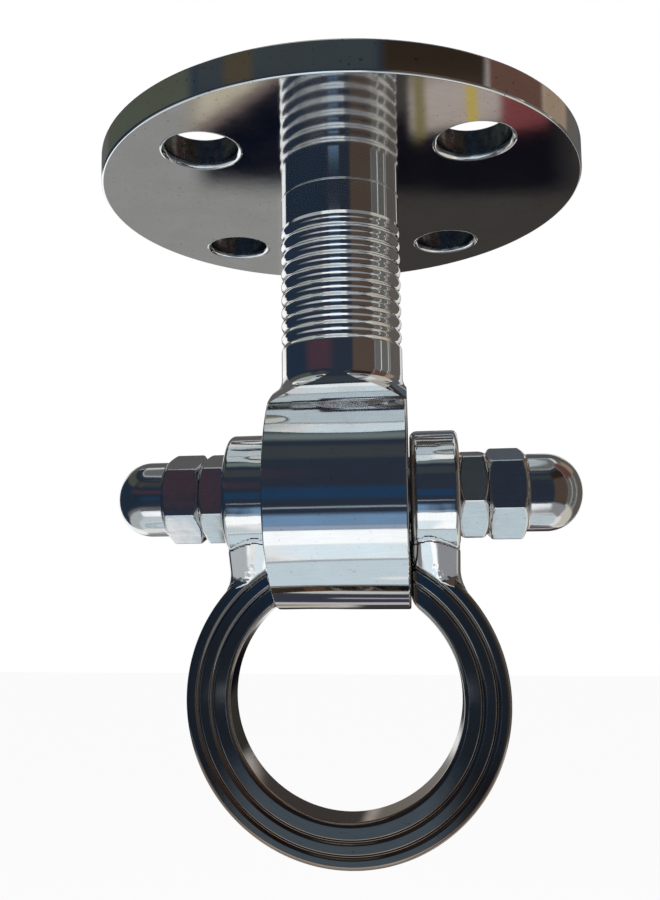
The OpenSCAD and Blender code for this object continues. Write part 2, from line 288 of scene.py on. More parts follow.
BEAD_DEPTH = 0.55
BEAD_N = 9
BEAD_STEPS = 24
STEM_SEGMENTS = 256


def make_plate(material, hole_material):
    """The turned rim, bore and holes, joined by flat faces above and below."""
    inner = PLATE_R - RIM_BAND
    mouth = HOLE_R + HOLE_ROUND
    rim = filleted([
        (inner, 0, 0), (PLATE_R, 0, PLATE_EDGE), (PLATE_R, -PLATE_T, PLATE_EDGE), (inner, -PLATE_T, 0),
    ])
    bore = filleted([
        (SPIGOT_R + BORE_BAND, -PLATE_T, 0), (SPIGOT_R, -PLATE_T, 0), (SPIGOT_R, -WELD_LEG, 0),
        (SPIGOT_R + WELD_LEG, 0, 0), (SPIGOT_R + WELD_LEG + BORE_BAND, 0, 0),
    ])
    hole = filleted([
        (mouth, -PLATE_T, 0), (HOLE_R, -PLATE_T, HOLE_ROUND), (HOLE_R, 0, HOLE_EDGE), (mouth, 0, 0),
    ])
    hole_centres = [(HOLE_CIRCLE_R * math.cos(a), HOLE_CIRCLE_R * math.sin(a)) for a in HOLE_ANGLES]
    turnings = [turned(*rim, RIM_SEGMENTS), turned(*bore, BORE_SEGMENTS)]
    turnings += [turned(*hole, HOLE_SEGMENTS, centre) for centre in hole_centres]
    plate = bmesh.new()
    normals = []
    for points, sides, faces in turnings:
        verts = [plate.verts.new(point) for point in points]
        normals += list(sides)
        for face in faces:
            plate.faces.new([verts[i] for i in face])
    for height, up in ((0, 1), (-PLATE_T, -1)):
        open_edges = [edge for edge in plate.edges
                      if edge.is_boundary and all(vert.co.z == height for vert in edge.verts)]
        bmesh.ops.triangle_fill(plate, edges=open_edges, use_beauty=True, normal=(0, 0, up))
    plate.verts.index_update()
    points = [tuple(vert.co) for vert in plate.verts]
    faces = [[vert.index for vert in face.verts] for face in plate.faces]
    plate.free()
    piece = make_piece("ceiling_plate", points, faces, normals, material, "mount")
    piece.data.materials.append(hole_material)
    for polygon in piece.data.polygons:
        at = polygon.center / MM
        nearest = min(math.hypot(at.x - x, at.y - y) for x, y in hole_centres)
        polygon.material_index = int(nearest < HOLE_R + HOLE_WALL_LIP)


def bead_wave(pitches):
    """The radius so many pitches below the first crest: arcs over the crests and through the grooves."""
    arc = ((BEAD_PITCH / 4) ** 2 + (BEAD_DEPTH / 2) ** 2) / BEAD_DEPTH
    from_crest = np.abs(pitches - np.round(pitches)) * BEAD_PITCH
    from_groove = BEAD_PITCH / 2 - from_crest
    crest = STEM_R - arc + np.sqrt(np.maximum(arc ** 2 - from_crest ** 2, 0))
    groove = STEM_R - BEAD_DEPTH + arc - np.sqrt(np.maximum(arc ** 2 - from_groove ** 2, 0))
    return np.where(from_crest < from_groove, crest, groove)


def make_stem(material):
    """The spigot, the collar, the beads and the plain neck, turned in one piece."""
    flare_z = BEAD_TOP_Z + COLLAR_FLARE
    top = filleted([
        (CORE_R, 0, 0), (SPIGOT_R, 0, 0), (SPIGOT_R, -PLATE_T, 0), (COLLAR_R, -PLATE_T, SEAM),
        (COLLAR_R, flare_z, COLLAR_ROUND), (STEM_R, BEAD_TOP_Z, 0),
    ])
    pitches = np.arange(BEAD_N * BEAD_STEPS + 1) / BEAD_STEPS
    heights = BEAD_TOP_Z - pitches * BEAD_PITCH
    radii = bead_wave(pitches)
    beads = np.stack([radii, heights], -1)
    bead_normals = np.stack([-np.gradient(heights), np.gradient(radii)], -1)
    bead_normals /= np.linalg.norm(bead_normals, axis=-1, keepdims=True)
    foot_z = BEAD_TOP_Z - BEAD_N * BEAD_PITCH
    foot = filleted([(STEM_R, foot_z, 0), (STEM_R, STEM_FOOT_Z, 0), (CORE_R, STEM_FOOT_Z, 0)])
    outline = np.concatenate([top[0], beads[1:-1], foot[0]])
    outline_normals = np.concatenate([top[1], bead_normals[1:-1], foot[1]])
    points, normals, faces = turned(outline, outline_normals, STEM_SEGMENTS, capped=True)
    make_piece("stem", points, faces, normals, material, "mount")


# ---------------------------------------------------------------- ring

RING_IN_R = 26.75
RING_W = 10.5
RING_OUT_R = RING_IN_R + RING_W
RING_MID_R = (RING_IN_R + RING_OUT_R) / 2
RING_HALF_T = box_mm("swing_ring")[1].y
RING_Z = box_mm("swing_ring")[0].z + RING_OUT_R
RING_EDGE = 1.1
RING_GROOVE_PARTS = (0.29, 0.60)
RING_GROOVES = [RING_OUT_R - part * RING_W for part in RING_GROOVE_PARTS]
RING_GROOVE_HALF = 0.72
RING_GROOVE_DEPTH = 0.45
RING_FACE_STEPS = 120
RING_EDGE_STEPS = 9
RING_STEPS = 360
RING_END_EDGE = 1.7
RING_END_STEPS = 8
RING_END_REACH = 0.3
EAR_IN_X = box_mm("right_ear")[0].x
EAR_OUT_X = box_mm("right_jam_nut")[0].x
RING_END_X = EAR_IN_X - RING_END_REACH


def ring_section():
    """The section's outline (radius, y) and its normals, once round from the rim over the grooved back,
    and from the eye over the front. Both grooved faces are alike."""
    face_radii = np.linspace(RING_OUT_R - RING_EDGE, RING_IN_R + RING_EDGE, RING_FACE_STEPS)
    depth = np.zeros_like(face_radii)
    for groove in RING_GROOVES:
        across = np.clip(np.abs(face_radii - groove) / RING_GROOVE_HALF, 0, 1)
        depth += RING_GROOVE_DEPTH * (1 - across ** 2 * (3 - 2 * across))
    slope = np.gradient(depth, face_radii)
    face = np.stack([face_radii, RING_HALF_T - depth], -1)
    face_normals = np.stack([slope, np.ones_like(slope)], -1)
    face_normals /= np.linalg.norm(face_normals, axis=-1, keepdims=True)
    corner = np.linspace(0, math.pi / 2, RING_EDGE_STEPS)
    outer = np.stack([np.cos(corner), np.sin(corner)], -1)
    inner = outer[::-1] * (-1, 1)
    rim = outer * RING_EDGE + (RING_OUT_R - RING_EDGE, RING_HALF_T - RING_EDGE)
    eye = inner * RING_EDGE + (RING_IN_R + RING_EDGE, RING_HALF_T - RING_EDGE)
    half = np.concatenate([rim[:-1], face, eye[1:]])
    half_normals = np.concatenate([outer[:-1], face_normals, inner[1:]])
    section = np.concatenate([half, half[::-1] * (1, -1)])
    return section, np.concatenate([half_normals, half_normals[::-1] * (1, -1)])


def make_ring(material):
    """The section swept from one end round to the other, with the ends' edges rounded."""
    section, sides = ring_section()
    count = len(section)
    rows, row_normals = [], []

    def add_row(shrink, end_x, part, lean):
        """One place of the section, shrunk all round by shrink, on the way from the right end (part 0)
        to the left end (part 1). end_x is the ends' x, and lean turns the normals towards the gap."""
        radius = RING_MID_R + (section[:, 0] - RING_MID_R) * (1 - shrink / (RING_W / 2))
        y = section[:, 1] * (1 - shrink / RING_HALF_T)
        start = np.arcsin(end_x / radius)
        angle = start + part * (2 * math.pi - 2 * start)
        rows.append(np.stack([radius * np.sin(angle), y, RING_Z + radius * np.cos(angle)], -1))
        normal = np.stack([sides[:, 0] * np.sin(angle), sides[:, 1], sides[:, 0] * np.cos(angle)], -1)
        normal = normal * math.cos(lean)
        normal[:, 0] += math.sin(lean) * (-1 if part < 0.5 else 1)
        row_normals.append(normal / np.linalg.norm(normal, axis=-1, keepdims=True))

    leans = np.linspace(math.pi / 2, 0, RING_END_STEPS)
    shrinks = [RING_END_EDGE * (1 - math.cos(lean)) for lean in leans]
    end_xs = [RING_END_X + RING_END_EDGE * (1 - math.sin(lean)) for lean in leans]
    end_rows = list(zip(shrinks, end_xs, leans))
    for shrink, end_x, lean in end_rows:
        add_row(shrink, end_x, 0, lean)
    for part in np.linspace(0, 1, RING_STEPS + 1)[1:-1]:
        add_row(0, RING_END_X + RING_END_EDGE, part, 0)
    for shrink, end_x, lean in reversed(end_rows):
        add_row(shrink, end_x, 1, lean)

    steps = np.arange(count)
    nexts = (steps + 1) % count
    starts = np.arange(len(rows) - 1)[:, None] * count
    faces = np.stack([starts + steps, starts + count + steps, starts + count + nexts, starts + nexts], -1)
    points, normals = np.concatenate(rows), np.concatenate(row_normals)
    faces = [list(face) for face in faces.reshape(-1, 4)]
    for first, way in ((0, 1), (len(points) - count, -1)):
        hub = len(points)
        points = np.append(points, [points[first:first + count].mean(0)], 0)
        normals = np.append(normals, [normals[first]], 0)
        faces += [[hub, first + i, first + (i + 1) % count][::way] for i in range(count)]
    make_piece("swing_ring", points, faces, normals, material, "ring")


# ---------------------------------------------------------------- ears

AXLE_Z = AXLE.z / MM
EAR_R = box_mm("right_ear")[1].z - AXLE_Z
EAR_EDGE = 1.2
EAR_INNER_EDGE = 1.7
NECK_EDGE = 1.1
NECK_INNER_EDGE = 2.2
NECK_RIDGE_EDGE = 0.8
EAR_BORE_R = 6.1
NECK_HALF_T = 5.9
NECK_CROWN = 4
NECK_HOLLOW_R = 6
NECK_CONE = math.radians(27)
NECK_LEAN = math.radians(6)
NECK_FROM_IN_X = 5.9
NECK_BELOW_AXLE = 21.25
NECK_X = EAR_IN_X + NECK_FROM_IN_X
NECK_Z = AXLE_Z - NECK_BELOW_AXLE
NECK_TOP_Z = AXLE_Z - EAR_R * math.sin(NECK_CONE)
ARCH_FILLET = 0.25
ARCH_GROOVE_R = 0.16
FOOT_R = 11
FOOT_X = EAR_OUT_X + FOOT_R
FOOT_Z = RING_Z + math.sqrt((RING_OUT_R + FOOT_R) ** 2 - FOOT_X ** 2)
FOOT_END = math.atan2(FOOT_X, FOOT_Z - RING_Z)
FOOT_LAP = 2.7
FOOT_LAP_TAPER = 0.2
FOOT_LAP_EDGE = 0.5
FOOT_REACH = 2
FOOT_ROUGH = 0.035
FOOT_ROUGH_MM = 1.7
FOOT_ROUGH_X = 18
FOOT_ROUGH_FADE = 3
FOOT_ROUGH_MARGIN = 0.5
UNEVEN = 0.012
EAR_UNEVEN_MM = 7
EAR_CELL = 0.3


def ripple(at, size):
    """Gentle uneven waves, about size millimetres long and between -1 and 1."""
    x, y, z = np.moveaxis(at * 2 * math.pi / size, -1, 0)
    waves = np.sin(x + 1.3 * np.sin(0.7 * y))
    waves = waves + np.sin(1.1 * y + 1.7 * np.sin(0.8 * z))
    waves = waves + np.sin(0.9 * z + 1.1 * np.sin(1.2 * x))
    return waves / 3


def neck_distance(at, side):
    """To the neck's front (side -1) or back (side 1), turned about a leaning line behind it."""
    x, y, z = at[..., 0] - NECK_X, at[..., 1] + side * NECK_CROWN, at[..., 2] - NECK_Z
    across = x * math.cos(NECK_LEAN) + z * math.sin(NECK_LEAN)
    along = z * math.cos(NECK_LEAN) - x * math.sin(NECK_LEAN)
    waist = NECK_HALF_T + NECK_CROWN
    hollow_h = NECK_HOLLOW_R * math.sin(NECK_CONE)
    h = np.clip(along, 0, hollow_h)
    radius = waist + NECK_HOLLOW_R - np.sqrt(NECK_HOLLOW_R ** 2 - h ** 2)
    radius += np.maximum(along - hollow_h, 0) * math.tan(NECK_CONE)
    lean = h / NECK_HOLLOW_R
    return (np.hypot(across, y) - radius) * np.sqrt(1 - lean ** 2)


def ear_field(at):
    """To the right ear: its eye on the axle, and the neck whose foot is coped over the ring's rim."""
    x, y, z = np.moveaxis(at, -1, 0)
    eye = both(np.hypot(y, z - AXLE_Z) - EAR_R, x - EAR_OUT_X, EAR_EDGE)
    eye = both(eye, EAR_IN_X - x, EAR_INNER_EDGE)
    front_back = both(neck_distance(at, -1), neck_distance(at, 1), NECK_RIDGE_EDGE)
    outer = np.where(z > FOOT_Z, x - EAR_OUT_X, FOOT_R - np.hypot(x - FOOT_X, z - FOOT_Z))
    neck = both(both(front_back, outer, NECK_EDGE), RING_END_X - x, NECK_INNER_EDGE)
    neck = np.maximum(neck, z - NECK_TOP_Z)
    solid = either(eye, neck, ARCH_FILLET)
    solid = np.maximum(solid, ARCH_GROOVE_R - np.hypot(eye, neck))

    within_rim = RING_OUT_R - np.hypot(x, z - RING_Z)
    on_foot = np.clip(1 + within_rim / FOOT_ROUGH_MARGIN, 0, 1)
    rough = FOOT_ROUGH * on_foot * np.clip((x - FOOT_ROUGH_X) / FOOT_ROUGH_FADE, 0, 1)
    solid = solid + UNEVEN * ripple(at, EAR_UNEVEN_MM) + rough * ripple(at, FOOT_ROUGH_MM)

    # The foot laps over the ring's front and back, and the lap tapers out at the foot's outer end.
    # The space of the ring itself is cut from it.
    to_end = FOOT_END - np.arctan2(x, z - RING_Z)
    lap = FOOT_LAP * np.clip(to_end / FOOT_LAP_TAPER, 0, 1)
    solid = both(solid, within_rim - lap, FOOT_LAP_EDGE)
    solid = np.maximum(solid, np.minimum(within_rim, RING_HALF_T - np.abs(y)))
    solid = np.maximum(solid, -to_end * RING_OUT_R)
    return np.maximum(solid, EAR_BORE_R - np.hypot(y, z - AXLE_Z))


def make_ears(material):
    """Both ears. Their net reaches below the CAD ear's box, because the foot laps further down."""
    low, high = box_mm("right_ear")
    margin = Vector((NET_MARGIN, NET_MARGIN, NET_MARGIN))
    net = surface_net(ear_field, low - margin - Vector((0, 0, FOOT_REACH)), high + margin, EAR_CELL)
    for side, name in ((1, "right_ear"), (-1, "left_ear")):
        make_from_net(name, side, net, material)


# ---------------------------------------------------------------- nuts

JAM_H = box_mm("right_jam_nut")[1].x - EAR_OUT_X
DOME_TIP_X = box_mm("right_dome_nut")[1].x
DOME_HEX_H = 8.7
NUT_APOTHEM = 9.5
NUT_FACE_R = 9.3
NUT_CHAMFER = math.radians(30)
NUT_CORNER = 0.6
NUT_EDGE = 0.3
STUD_R = 6.02
THREAD_L = 16
DOME_R = 9
DOME_SIDE_R = 8.2
DOME_CAP_R = 10
DOME_FILLET = 0.3
DOME_SUNK = 1
NUT_REACH = 12
NUT_UNEVEN_MM = 4
NUT_CELL = 0.4
# name: side, and how far it is turned on the stud, in degrees
NUTS = {
    "left_jam_nut": (-1, -7.5), "right_jam_nut": (1, -19),
    "left_dome_nut": (-1, -6), "right_dome_nut": (1, -9),
}


def hexagon_distance(y, z, turn):
    """To a hexagon with rounded corners and a corner straight up, turned about X."""
    apothem = NUT_APOTHEM - NUT_CORNER
    half_side = apothem * math.tan(math.pi / 6)
    out = np.abs(y * math.cos(turn) + z * math.sin(turn))
    along = np.abs(z * math.cos(turn) - y * math.sin(turn))
    fold = 2 * np.minimum(-math.cos(math.pi / 6) * along + 0.5 * out, 0)
    along = along + fold * math.cos(math.pi / 6)
    out = out - fold * 0.5
    past_corner = along - np.clip(along, -half_side, half_side)
    return np.hypot(past_corner, out - apothem) * np.sign(out - apothem) - NUT_CORNER


def nut_distance(at, x0, x1, turn):
    """To a chamfered hexagon from x0 to x1 on the axle."""
    x, y, z = at[..., 0], at[..., 1], at[..., 2] - AXLE_Z
    past = np.abs(x - (x0 + x1) / 2) - (x1 - x0) / 2
    cone = (np.hypot(y, z) - NUT_FACE_R) * math.sin(NUT_CHAMFER) + past * math.cos(NUT_CHAMFER)
    body = both(hexagon_distance(y, z, turn), cone, NUT_EDGE) + UNEVEN * ripple(at, NUT_UNEVEN_MM)
    return np.maximum(body, past)


def dome_distance(at, x0):
    """To the dome that stands on a hexagon from x0 on: a cylinder, a rounded side and a blunter cap."""
    x, radius = at[..., 0], np.hypot(at[..., 1], at[..., 2] - AXLE_Z)
    side_rise = math.sqrt((DOME_CAP_R - DOME_SIDE_R) ** 2 - (DOME_R - DOME_SIDE_R) ** 2)
    side_x = DOME_TIP_X - DOME_CAP_R + side_rise
    cap_turn = math.acos((DOME_R - DOME_SIDE_R) / (DOME_CAP_R - DOME_SIDE_R))
    turn = np.arctan2(x - side_x, radius - (DOME_R - DOME_SIDE_R))
    side = np.hypot(radius - (DOME_R - DOME_SIDE_R), x - side_x) - DOME_SIDE_R
    cap = np.hypot(radius, x - DOME_TIP_X + DOME_CAP_R) - DOME_CAP_R
    round_end = np.where(turn < cap_turn, side, cap)
    return np.maximum(np.where(x < side_x, radius - DOME_R, round_end), x0 - x)


def make_nut(name, material):
    """A jam nut against the ear, or a dome nut against the jam nut, with its bore for the stud."""
    side, degrees = NUTS[name]
    turn = math.radians(degrees)
    domed = "dome" in name
    x0 = EAR_OUT_X + (JAM_H if domed else 0)
    x1 = x0 + (DOME_HEX_H if domed else JAM_H)

    def field(at):
        body = nut_distance(at, x0, x1, turn)
        radius = np.hypot(at[..., 1], at[..., 2] - AXLE_Z)
        if domed:
            body = either(body, dome_distance(at, x0 + DOME_SUNK), DOME_FILLET)
            return np.maximum(body, -np.maximum(radius - STUD_R, at[..., 0] - x0 - THREAD_L))
        return np.maximum(body, STUD_R - radius)

    low = (x0 - NET_MARGIN, -NUT_REACH, AXLE_Z - NUT_REACH)
    high = ((DOME_TIP_X if domed else x1) + NET_MARGIN, NUT_REACH, AXLE_Z + NUT_REACH)
    make_from_net(name, side, surface_net(field, low, high, NUT_CELL), material)


# ---------------------------------------------------------------- materials


def along_x(tree, place, fine, slow):
    """Changes quickly across X and slowly along it: lines that run along the axle."""
    return add(tree, "VectorMath", {0: place, 1: (slow, fine, fine)}, operation="MULTIPLY").outputs[0]


def round_axis(centre, axis):
    """Lines turned about a line through centre: fast from one line to the next, slow along each."""
    keep = tuple(0.0 if i == axis else 1.0 for i in range(3))

    def vector(tree, place, fine, slow):
        from_axis = add(tree, "VectorMath", {0: place, 1: centre}, operation="SUBTRACT")
        flat = add(tree, "VectorMath", {0: from_axis.outputs[0], 1: keep}, operation="MULTIPLY")
        radius = add(tree, "VectorMath", {0: flat.outputs[0]}, operation="LENGTH")
        height = add(tree, "SeparateXYZ", {0: place}).outputs[axis]
        pair = add(tree, "CombineXYZ", {0: radius.outputs["Value"], 1: height})
        quick = add(tree, "VectorMath", {0: pair.outputs[0], 1: (fine, fine, fine)}, operation="MULTIPLY")
        easy = add(tree, "VectorMath", {0: place, 1: (slow, slow, slow)}, operation="MULTIPLY")
        total = add(tree, "VectorMath", {0: quick.outputs[0], 1: easy.outputs[0]}, operation="ADD")
        return total.outputs[0]

    return vector


ROUND_STEM = round_axis((0, 0, 0), 2)
ROUND_AXLE = round_axis(tuple(AXLE), 0)
ROUND_RING = round_axis((0, 0, RING_Z * MM), 1)
LINE_STRETCH = 0.06
PIT_MM = 0.8
ROUGH_SPREAD = 0.3
GRAIN_MM = 0.5
GRAIN_DEPTH = 0.02
# Painted shade on the ring: its colour darkens below this height and fades out over this span above it.
RING_PAINTED_SHADE_Z = RING_Z - 20
RING_PAINTED_SHADE_FADE = 13


def steel(name, colour, stain, roughness, lines, line_mm, line_depth, line_shade,
          wave=0.0, wave_mm=6.0, speck=0.0, mottle_mm=9.0, painted_shade_colour=None):
    """Steel with turned or brushed lines, broad staining, an uneven polish and small pits.
    line_depth and wave are the heights of the lines and of the unevenness in millimetres, and line_mm,
    wave_mm and mottle_mm the sizes of the lines, the unevenness and the stains. line_shade and speck say
    how dark lines and pits are. The last argument is for the ring alone: painted shade, a darker colour
    below a set height that fades out over a set span above it, in place of dark reflections."""
    material = new_material(name)
    tree = material.node_tree
    place = add(tree, "TexCoord").outputs["Object"]
    mottle = add(tree, "TexNoise", {
        "Vector": place, "Scale": 1 / (mottle_mm * MM), "Detail": 4.0, "Roughness": 0.6,
    })
    patch = add(tree, "MapRange", {"Value": mottle.outputs[0], "From Min": 0.38, "From Max": 0.66})
    base = add(tree, "Mix", {0: patch.outputs[0], 6: (*colour, 1), 7: (*stain, 1)}, data_type="RGBA")
    # Painted shade: below a set height the ring's colour is darkened, standing in for dark reflections.
    if painted_shade_colour:
        height = add(tree, "SeparateXYZ", {0: place}).outputs[2]
        low = add(tree, "MapRange", {
            "Value": height, "From Min": RING_PAINTED_SHADE_Z * MM, "From Max": (RING_PAINTED_SHADE_Z + RING_PAINTED_SHADE_FADE) * MM,
            "To Min": 1.0, "To Max": 0.0,
        }, interpolation_type="SMOOTHSTEP")
        base = add(tree, "Mix", {
            0: low.outputs[0], 6: base.outputs[2], 7: (*painted_shade_colour, 1),
        }, data_type="RGBA")
    run = lines(tree, place, 1 / (line_mm * MM), LINE_STRETCH / (line_mm * MM))
    streak = add(tree, "TexNoise", {"Vector": run, "Scale": 1.0, "Detail": 3.0, "Roughness": 0.65})
    shade = add(tree, "MapRange", {
        "Value": streak.outputs[0], "From Min": 0.3, "From Max": 0.7,
        "To Min": 1 - 2 * line_shade, "To Max": 1.0,
    })
    pits = add(tree, "TexNoise", {"Vector": place, "Scale": 1 / (PIT_MM * MM), "Detail": 1.0})
    pit = add(tree, "MapRange", {
        "Value": pits.outputs[0], "From Min": 0.70, "From Max": 0.76, "To Min": 1.0, "To Max": 1 - speck,
    })
    dark = add(tree, "Math", {0: shade.outputs[0], 1: pit.outputs[0]}, operation="MULTIPLY")
    tinted = add(tree, "VectorMath", {0: base.outputs[2], "Scale": dark.outputs[0]}, operation="SCALE")
    rough = add(tree, "MapRange", {
        "Value": mottle.outputs[0], "From Min": 0.3, "From Max": 0.7,
        "To Min": roughness * (1 - ROUGH_SPREAD), "To Max": roughness * (1 + ROUGH_SPREAD),
    })
    scratches = add(tree, "Bump", {
        "Height": streak.outputs[0], "Distance": line_depth * MM, "Strength": 1.0,
    })
    swell = add(tree, "TexNoise", {
        "Vector": place, "Scale": 1 / (wave_mm * MM), "Detail": 2.0, "Roughness": 0.45,
    })
    uneven = add(tree, "Bump", {
        "Height": swell.outputs[0], "Distance": wave * MM, "Strength": 1.0, "Normal": scratches.outputs[0],
    })
    shader = add(tree, "BsdfPrincipled", {
        "Base Color": tinted.outputs[0], "Metallic": 1.0,
        "Roughness": rough.outputs[0], "Normal": uneven.outputs[0],
    })
    add(tree, "OutputMaterial", {0: shader.outputs[0]})
    return material


def rubber(name, colour, dust):
    """Matt moulded rubber with a fine grain and dust in it."""
    material = new_material(name)
    tree = material.node_tree
    place = add(tree, "TexCoord").outputs["Object"]
    grain = add(tree, "TexNoise", {"Vector": place, "Scale": 1 / (GRAIN_MM * MM), "Detail": 5.0})
    base = add(tree, "Mix", {0: grain.outputs[0], 6: (*colour, 1), 7: (*dust, 1)}, data_type="RGBA")
    bump = add(tree, "Bump", {"Height": grain.outputs[0], "Distance": GRAIN_DEPTH * MM, "Strength": 1.0})
    shader = add(tree, "BsdfPrincipled", {
        "Base Color": base.outputs[2], "Roughness": 0.6, "Normal": bump.outputs[0],
    })
    add(tree, "OutputMaterial", {0: shader.outputs[0]})
    return material


def dress():
    """Replaces the nodes whose surfaces show up close, and gives every other node its finish."""
    plate = steel("plate_polish", (0.82, 0.83, 0.83), (0.78, 0.77, 0.75), 0.055,
                  ROUND_STEM, 0.22, 0.0006, 0.03, wave=0.010, wave_mm=9, speck=0.5)
    drilled = steel("drilled_wall", (0.34, 0.38, 0.42), (0.16, 0.19, 0.22), 0.22,
                    ROUND_STEM, 0.3, 0.004, 0.2, wave=0.02, wave_mm=2, speck=0.3, mottle_mm=1.6)
    make_plate(plate, drilled)
    stem = steel("stem_polish", (0.82, 0.82, 0.83), (0.78, 0.77, 0.75), 0.05,
                 ROUND_STEM, 0.15, 0.0006, 0.03, wave=0.006, wave_mm=6, speck=0.2)
    make_stem(stem)
    # The ring carries painted shade: its colour is darker towards its bottom.
    ring = steel("ring_turned_painted_shade", (0.46, 0.43, 0.40), (0.42, 0.40, 0.37), 0.06,
                 ROUND_RING, 0.16, 0.0012, 0.10, wave=0.008, wave_mm=5, speck=0.3,
                 painted_shade_colour=(0.31, 0.23, 0.18))
    make_ring(ring)
    ear = steel("ear_polish", (0.82, 0.82, 0.83), (0.78, 0.77, 0.75), 0.06,
                ROUND_AXLE, 0.18, 0.0008, 0.04, wave=0.012, wave_mm=5, speck=0.2)
    make_ears(ear)
    satin = steel("nut_satin", (0.78, 0.78, 0.79), (0.73, 0.72, 0.70), 0.12,
                  along_x, 0.18, 0.0025, 0.08, wave=0.008, wave_mm=4, speck=0.2)
    for name in NUTS:
        make_nut(name, satin)

    barrel = steel("barrel_polish", (0.82, 0.82, 0.83), (0.78, 0.77, 0.76), 0.055,
                   along_x, 0.3, 0.0006, 0.04, wave=0.010, wave_mm=8, speck=0.2)
    weld = steel("ground_weld", (0.50, 0.49, 0.47), (0.38, 0.34, 0.30), 0.35,
                 ROUND_STEM, 0.4, 0.01, 0.2, wave=0.04, wave_mm=3, speck=0.6)
    stud = steel("turned_stud", (0.56, 0.56, 0.56), (0.50, 0.49, 0.47), 0.3, ROUND_AXLE, 0.3, 0.004, 0.1)
    plain = {"bearing_barrel": barrel, "stem_weld": weld, "axle_stud": stud}
    turned_steel = steel("turned_steel", (0.55, 0.55, 0.55), (0.49, 0.48, 0.46), 0.28,
                         ROUND_AXLE, 0.25, 0.003, 0.1)
    ground = steel("ground_bearing_steel", (0.58, 0.59, 0.61), (0.52, 0.52, 0.52), 0.14,
                   ROUND_AXLE, 0.12, 0.001, 0.06)
    cage = steel("pressed_cage_steel", (0.52, 0.49, 0.42), (0.44, 0.40, 0.33), 0.25,
                 ROUND_AXLE, 0.5, 0.002, 0.06, wave=0.01, wave_mm=3)
    seal = rubber("seal_rubber", (0.035, 0.035, 0.04), (0.06, 0.06, 0.06))
    for name, obj in frame["nodes"].items():
        if obj.hide_render:
            continue
        finish = plain.get(name, turned_steel)
        if "seals" in name:
            finish = seal
        elif "cage" in name:
            finish = cage
        elif "race" in name or "balls" in name:
            finish = ground
        for slot in obj.material_slots:
            slot.material = finish


# ---------------------------------------------------------------- studio

BOARD_R = 0.6
BOARD_GAP = 2 * MM
BOARD_STEPS = 24
